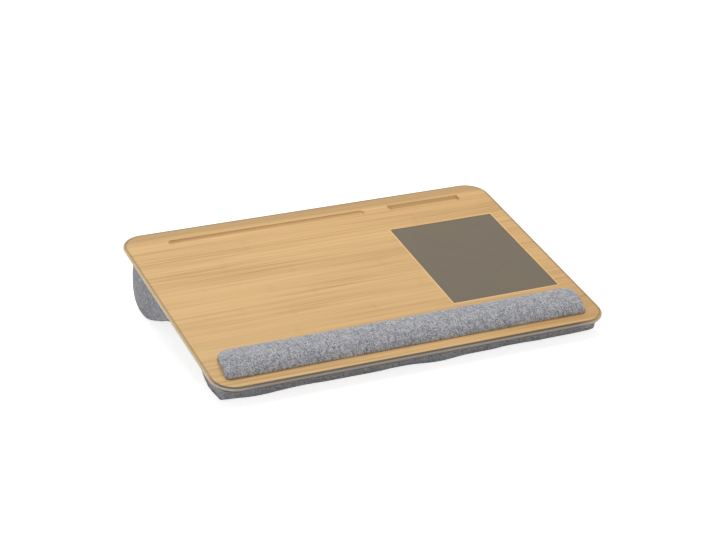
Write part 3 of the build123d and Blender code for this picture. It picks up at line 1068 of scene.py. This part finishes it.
class TRAY_OT_board(bpy.types.Operator):
    """Dress the plies and the edge band in bamboo"""
    bl_idname = "tray.board"
    bl_label = "Board"

    def execute(self, context):
        wood = context.scene.tray_wood
        groups = shared_groups()
        face = wood_material("bamboo_face", groups, wood.face_color, wood.face_dark, JOINT_STRENGTH)
        # The band: a darker colour along the front as painted shade, its lit colour along the other
        # edges
        band = wood_material(
            "bamboo_band", groups, wood.band_shaded_color, [c * BAND_STREAKS for c in wood.band_shaded_color],
            JOINT_STRENGTH, wood.band_side_color)
        core = wood_material(
            "bamboo_core", groups, wood.core_color, [c * CORE_STREAKS for c in wood.core_color])
        set_material("face_ply", face)
        set_material("edge_band", band)
        set_material("core_ply", core)
        set_material("back_ply", core)
        return {"FINISHED"}


class TRAY_OT_pad(bpy.types.Operator):
    """Dress the inlaid mouse pad and its glue"""
    bl_idname = "tray.pad"
    bl_label = "Mouse pad"

    def execute(self, context):
        set_material("mouse_pad", pad_material())
        set_material("mouse_pad_glue", plain_material("glue_film", *GLUE_LOOK))
        return {"FINISHED"}


class TRAY_OT_wrist_rest(bpy.types.Operator):
    """Make the padded wrist rest"""
    bl_idname = "tray.wrist_rest"
    bl_label = "Wrist rest"

    def execute(self, context):
        fabric = context.scene.tray_fabric
        bm = merged_copy("wrist_rest_cover")
        low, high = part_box("wrist_rest_cover")
        arch, flat = two_sides(section(bm, (low.x + high.x) / 2), False)
        bm.free()
        arch = [to_board(p) for p in spread_evenly(arch, ARCH_STEPS)]
        floor = arch[0].z
        rings = rest_rings(arch, low.x, high.x, fabric.rest_lean)
        piece, tube_start, tube_end = form_mesh("wrist_rest", rings, END_RINGS, REST_MAP_ZERO)
        sewn = [v.index for v in piece.data.vertices if to_board(v.co).z < floor + LEVEL_SLACK]
        blow_up(piece, sewn, fabric.pressure, fabric.rest_swell)
        for vertex in piece.data.vertices:
            wave = noise.noise(vertex.co * REST_WAVES_PER_METRE)
            if to_board(vertex.co).z > floor + REST_SMOOTH_BELOW:
                vertex.co += vertex.normal * REST_WAVE * wave
        subdivide(piece)
        for vertex in piece.data.vertices:
            place = to_board(vertex.co)
            if place.z < floor:
                vertex.co = from_board((place.x, place.y, floor))
        material = fabric_material("heather_rest", shared_groups(), fabric.rest_shade)
        finish_piece(piece, "rest_fabric", material, "wrist_rest_cover", "wrist_rest_foam")
        set_material("wrist_rest_base", plain_material("rest_board", *REST_BOARD_LOOK))
        return {"FINISHED"}


class TRAY_OT_cushion(bpy.types.Operator):
    """Make both bolsters of the cushion"""
    bl_idname = "tray.cushion"
    bl_label = "Cushion"

    def execute(self, context):
        material = fabric_material("heather_cushion", shared_groups())
        for name in ("front_bolster", "rear_bolster"):
            bolster(name, material)
        return {"FINISHED"}


class TRAY_OT_panels(bpy.types.Operator):
    """Make the cushion's top panel and the web between the bolsters"""
    bl_idname = "tray.panels"
    bl_label = "Cushion panels"

    def execute(self, context):
        shade = context.scene.tray_fabric.panel_shade
        material = fabric_material("heather_panel", shared_groups(), shade)
        for name, node, corner in PANELS:
            low, high = board_box(node)
            piece = panel_mesh(name, low, high, corner)
            finish_piece(piece, "cushion_fabric", material, node)
        return {"FINISHED"}


class TRAY_OT_tapes(bpy.types.Operator):
    """Make the fastening tapes between the board and the cushion"""
    bl_idname = "tray.tapes"
    bl_label = "Fastening tapes"

    def execute(self, context):
        for name, node, color, scale in TAPES:
            finish_piece(strip_mesh(name, node), "tape", tape_material(name, color, scale), node)
        return {"FINISHED"}


def aimed(name, data, place, aim):
    """A camera or a lamp that stands at a place and points at another."""
    holder = placed(name, data)
    holder.location = place
    holder.rotation_euler = (Vector(aim) - Vector(place)).to_track_quat("-Z", "Y").to_euler()
    return holder


def background_seen(t):
    """1 for rays that show the white background: from the camera, mirrored, or through glass."""
    path = t.node("ShaderNodeLightPath").outputs
    bent = t.math("MAXIMUM", path["Is Glossy Ray"], path["Is Transmission Ray"])
    return t.math("MAXIMUM", path["Is Camera Ray"], bent)


class TRAY_OT_stage(bpy.types.Operator):
    """Set up the floor, the lamps and the camera"""
    bl_idname = "tray.stage"
    bl_label = "Stage"

    def execute(self, context):
        stage = context.scene.tray_stage
        camera = bpy.data.cameras.new("camera")
        camera.sensor_width = SENSOR_WIDTH
        camera.lens = stage.camera_lens
        camera.clip_end = VIEW_END
        context.scene.camera = aimed("camera", camera, stage.camera_place, stage.camera_aim)
        for name, place, aim, size, power, color in LAMPS:
            lamp = bpy.data.lights.new(name, "AREA")
            lamp.size = size
            lamp.energy = getattr(stage, power)
            lamp.color = color
            aimed(name, lamp, place, aim)
        self.floor()
        self.world(stage.world_strength)
        context.scene.view_settings.view_transform = "Standard"
        return {"FINISHED"}

    def floor(self):
        """A white floor that looks even, but is lit like any other for rays that aren't seen."""
        mesh = bpy.data.meshes.new("floor")
        reach = FLOOR_REACH
        ring = [(-reach, -reach, 0), (reach, -reach, 0), (reach, reach, 0), (-reach, reach, 0)]
        mesh.from_pydata(ring, [], [(0, 1, 2, 3)])
        floor = placed("floor", mesh)
        floor.location.z = -FLOOR_BELOW
        material, t = new_material("floor_white")
        matte = t.give("ShaderNodeBsdfDiffuse", {"Color": rgba(WHITE, FLOOR_MATTE)})
        seen = t.give("ShaderNodeBsdfDiffuse", {"Color": rgba(WHITE, FLOOR_SEEN)})
        glow = t.give("ShaderNodeEmission", {"Color": rgba(WHITE), "Strength": FLOOR_GLOW})
        white = t.give("ShaderNodeAddShader", {0: seen, 1: glow})
        mix = t.give("ShaderNodeMixShader", {0: background_seen(t), 1: matte, 2: white})
        t.node("ShaderNodeOutputMaterial", {"Surface": mix})
        mesh.materials.append(material)

    def world(self, strength):
        """Even light from all round, in front of a white background."""
        world = bpy.data.worlds.new("room")
        bpy.context.scene.world = world
        t = empty_tree(world)
        level = t.remap(background_seen(t), 0.0, 1.0, strength, 1.0)
        room = t.give("ShaderNodeBackground", {"Color": rgba(WHITE), "Strength": level})
        t.node("ShaderNodeOutputWorld", {"Surface": room})


def shared_groups():
    """The shader groups, built once."""
    return {key: bpy.data.node_groups.get(name) or make() for key, name, make in (
        ("bamboo", "Bamboo Grain", bamboo_group), ("outline", "Rounded Outline", outline_group),
        ("weave", "Heather Weave", weave_group))}


class TRAY_PT_panel(bpy.types.Panel):
    """Lists the tray's pieces"""
    bl_label = "Lap Tray"
    bl_idname = "TRAY_PT_panel"
    bl_space_type = "VIEW_3D"
    bl_region_type = "UI"
    bl_category = "Lap Tray"

    def draw(self, context):
        for operator in OPERATORS:
            self.layout.operator(operator.bl_idname)
        for group, cls in SETTINGS.items():
            box = self.layout.box()
            for name in cls.__annotations__:
                box.prop(getattr(context.scene, group), name)


OPERATORS = (TRAY_OT_board, TRAY_OT_pad, TRAY_OT_wrist_rest, TRAY_OT_cushion, TRAY_OT_panels,
             TRAY_OT_tapes, TRAY_OT_stage)
SETTINGS = {"tray_wood": WoodSettings, "tray_fabric": FabricSettings, "tray_pad": PadSettings,
            "tray_stage": StageSettings}


def register():
    for cls in (*SETTINGS.values(), *OPERATORS, TRAY_PT_panel):
        bpy.utils.register_class(cls)
    for name, cls in SETTINGS.items():
        setattr(bpy.types.Scene, name, bpy.props.PointerProperty(type=cls))


def unregister():
    for name in SETTINGS:
        delattr(bpy.types.Scene, name)
    for cls in (TRAY_PT_panel, *reversed(OPERATORS), *reversed(SETTINGS.values())):
        bpy.utils.unregister_class(cls)


def main():
    register()
    for operator in OPERATORS:
        getattr(bpy.ops.tray, operator.bl_idname.removeprefix("tray."))()


if __name__ == "__main__":
    main()
